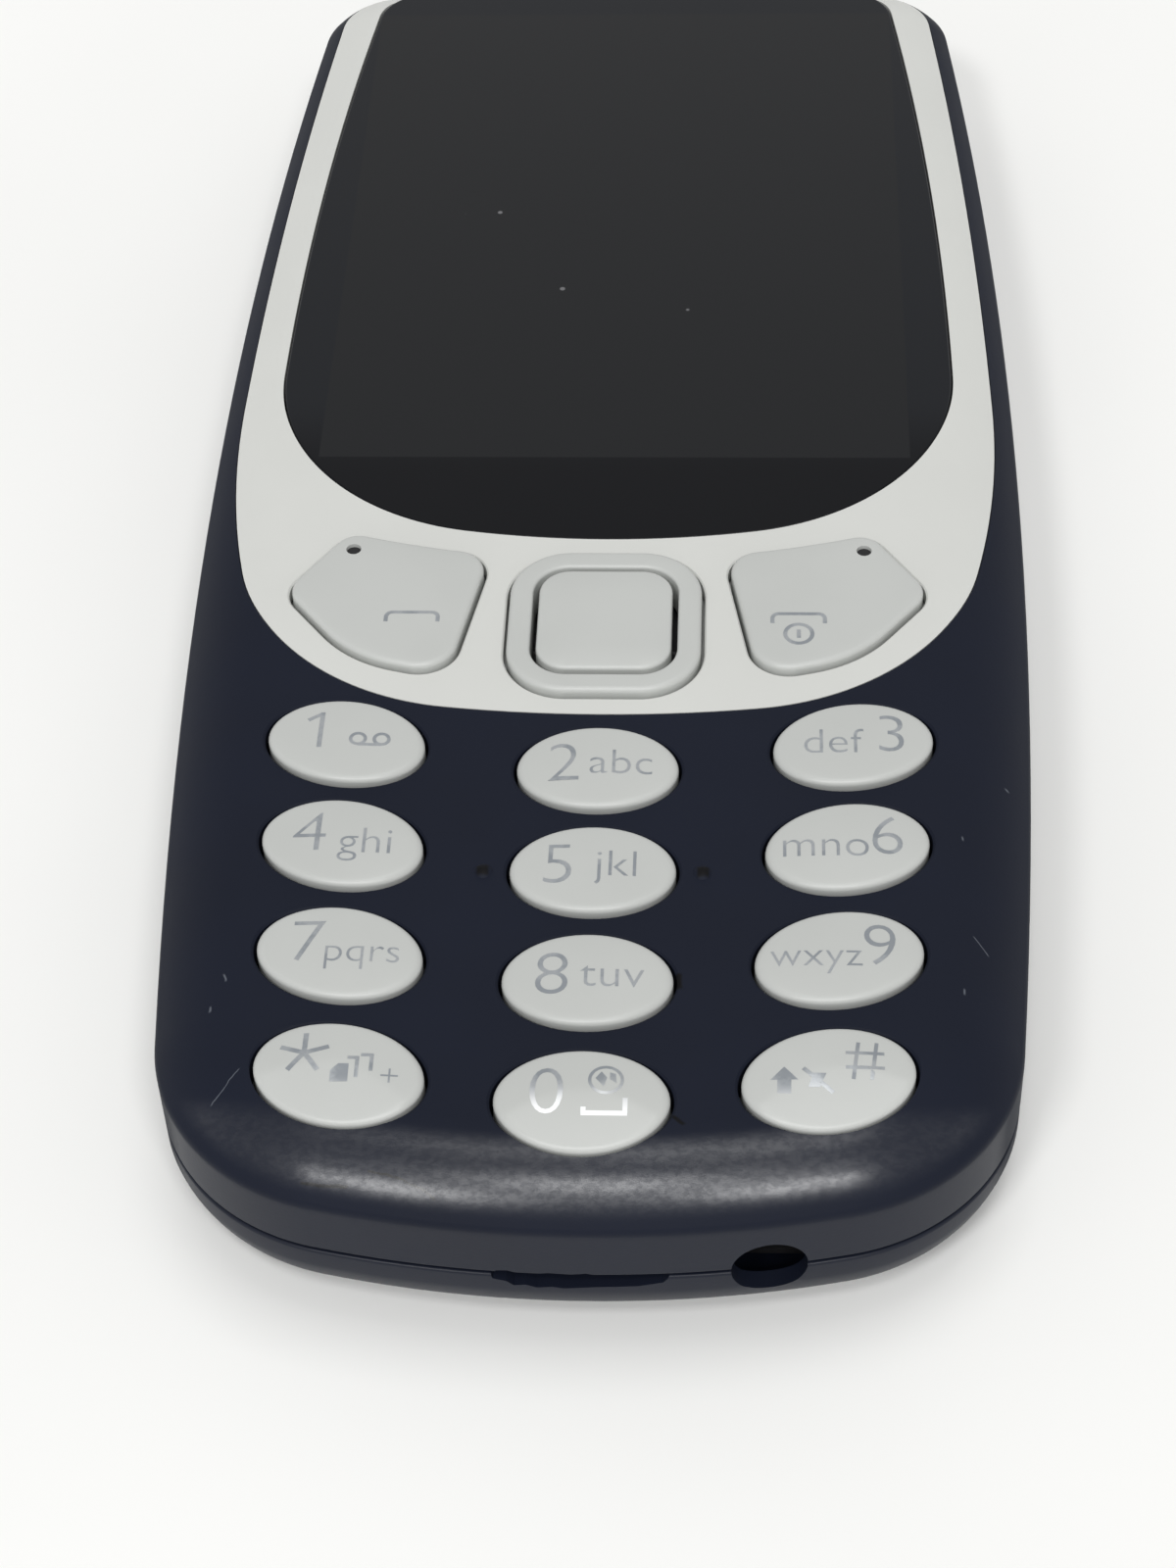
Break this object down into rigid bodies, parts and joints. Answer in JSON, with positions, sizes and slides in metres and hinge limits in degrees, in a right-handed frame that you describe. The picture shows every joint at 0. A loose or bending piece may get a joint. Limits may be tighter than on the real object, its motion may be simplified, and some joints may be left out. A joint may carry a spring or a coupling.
{
  "type": "candybar feature phone",
  "caption": "Slim candybar phone with a bowed navy shell, a pale fascia round its display, an oval number keypad, a square navigation ring and a removable back.",
  "frame": {"origin": "middle of the back face, on which the phone lies", "axes": "+X to the right as the keypad is read, +Y towards the earpiece, +Z out of the display"},
  "size_m": [0.051, 0.1156, 0.0128],
  "materials": {
    "shell_navy": "satin",
    "fascia_pale": "semi-gloss",
    "window_black": "gloss",
    "black_foam": "matte",
    "display_glass": "gloss",
    "key_grey": "satin",
    "black_plastic": "matte",
    "mat_rubber": "matte",
    "steel": "brushed",
    "board_green": "satin",
    "battery_wrap": "satin",
    "gold": "plated",
    "lens_glass": "polished",
    "lamp_white": "gloss"
  },
  "bodies": {
    "rear_cover": {"rear_cover": "shell_navy"},
    "handset": {"front_cover": "shell_navy", "fascia": "fascia_pale", "display_window": "window_black", "display_gasket": "black_foam", "lcd_module": "display_glass", "lcd_tray": "steel", "earpiece": "steel", "earpiece_mesh": "black_plastic", "keypad_mat": "mat_rubber", "dome_sheet": "steel", "main_board": "board_green", "shield_can": "steel", "chassis": "black_plastic", "battery": "battery_wrap", "battery_contacts": "gold", "sim_holder": "steel", "card_holder": "steel", "camera_module": "black_plastic", "camera_window": "lens_glass", "flash_lamp": "lamp_white", "loudspeaker": "steel", "vibration_motor": "steel", "microphone": "steel", "headset_jack": "black_plastic", "usb_port": "steel", "antenna": "gold", "screws": "steel"},
    "key_1": {"key_1": "key_grey"},
    "key_2": {"key_2": "key_grey"},
    "key_3": {"key_3": "key_grey"},
    "key_4": {"key_4": "key_grey"},
    "key_5": {"key_5": "key_grey"},
    "key_6": {"key_6": "key_grey"},
    "key_7": {"key_7": "key_grey"},
    "key_8": {"key_8": "key_grey"},
    "key_9": {"key_9": "key_grey"},
    "key_star": {"key_star": "key_grey"},
    "key_0": {"key_0": "key_grey"},
    "key_hash": {"key_hash": "key_grey"},
    "select_key": {"select_key": "key_grey"},
    "left_key": {"left_key": "key_grey"},
    "right_key": {"right_key": "key_grey"},
    "nav_cradle": {"nav_cradle": "black_plastic"},
    "nav_ring": {"nav_ring": "key_grey"}
  },
  "joints": [
    {"name": "handset_lift", "type": "slide", "parent": "rear_cover", "child": "handset", "axis": [0, 0, 1], "range_m": [0, 0.03]},
    {"name": "key_1_press", "type": "slide", "parent": "handset", "child": "key_1", "axis": [0, 0, -1], "range_m": [0, 0.00035], "stiffness_N_per_m": 400},
    {"name": "key_2_press", "type": "slide", "parent": "handset", "child": "key_2", "axis": [0, 0, -1], "range_m": [0, 0.00035], "stiffness_N_per_m": 400},
    {"name": "key_3_press", "type": "slide", "parent": "handset", "child": "key_3", "axis": [0, 0, -1], "range_m": [0, 0.00035], "stiffness_N_per_m": 400},
    {"name": "key_4_press", "type": "slide", "parent": "handset", "child": "key_4", "axis": [0, 0, -1], "range_m": [0, 0.00035], "stiffness_N_per_m": 400},
    {"name": "key_5_press", "type": "slide", "parent": "handset", "child": "key_5", "axis": [0, 0, -1], "range_m": [0, 0.00035], "stiffness_N_per_m": 400},
    {"name": "key_6_press", "type": "slide", "parent": "handset", "child": "key_6", "axis": [0, 0, -1], "range_m": [0, 0.00035], "stiffness_N_per_m": 400},
    {"name": "key_7_press", "type": "slide", "parent": "handset", "child": "key_7", "axis": [0, 0, -1], "range_m": [0, 0.00035], "stiffness_N_per_m": 400},
    {"name": "key_8_press", "type": "slide", "parent": "handset", "child": "key_8", "axis": [0, 0, -1], "range_m": [0, 0.00035], "stiffness_N_per_m": 400},
    {"name": "key_9_press", "type": "slide", "parent": "handset", "child": "key_9", "axis": [0, 0, -1], "range_m": [0, 0.00035], "stiffness_N_per_m": 400},
    {"name": "key_star_press", "type": "slide", "parent": "handset", "child": "key_star", "axis": [0, 0, -1], "range_m": [0, 0.00035], "stiffness_N_per_m": 400},
    {"name": "key_0_press", "type": "slide", "parent": "handset", "child": "key_0", "axis": [0, 0, -1], "range_m": [0, 0.00035], "stiffness_N_per_m": 400},
    {"name": "key_hash_press", "type": "slide", "parent": "handset", "child": "key_hash", "axis": [0, 0, -1], "range_m": [0, 0.00035], "stiffness_N_per_m": 400},
    {"name": "select_press", "type": "slide", "parent": "handset", "child": "select_key", "axis": [0, 0, -1], "range_m": [0, 0.0003], "stiffness_N_per_m": 400},
    {"name": "left_key_rock", "type": "hinge", "parent": "handset", "child": "left_key", "pos_m": [-0.01345, -0.01245, 0.01025], "axis": [0.8212, 0.5707, 0], "range_deg": [-2.5, 2.5], "stiffness_Nm_per_rad": 0.1},
    {"name": "right_key_rock", "type": "hinge", "parent": "handset", "child": "right_key", "pos_m": [0.01345, -0.01245, 0.01025], "axis": [0.8212, -0.5707, 0], "range_deg": [-2.5, 2.5], "stiffness_Nm_per_rad": 0.1},
    {"name": "nav_up_down", "type": "hinge", "parent": "handset", "child": "nav_cradle", "pos_m": [0, -0.01555, 0.00965], "axis": [1, 0, 0], "range_deg": [-2, 2], "stiffness_Nm_per_rad": 0.1},
    {"name": "nav_left_right", "type": "hinge", "parent": "nav_cradle", "child": "nav_ring", "pos_m": [0, -0.01555, 0.01025], "axis": [0, 1, 0], "range_deg": [-2, 2], "stiffness_Nm_per_rad": 0.1}
  ]
}
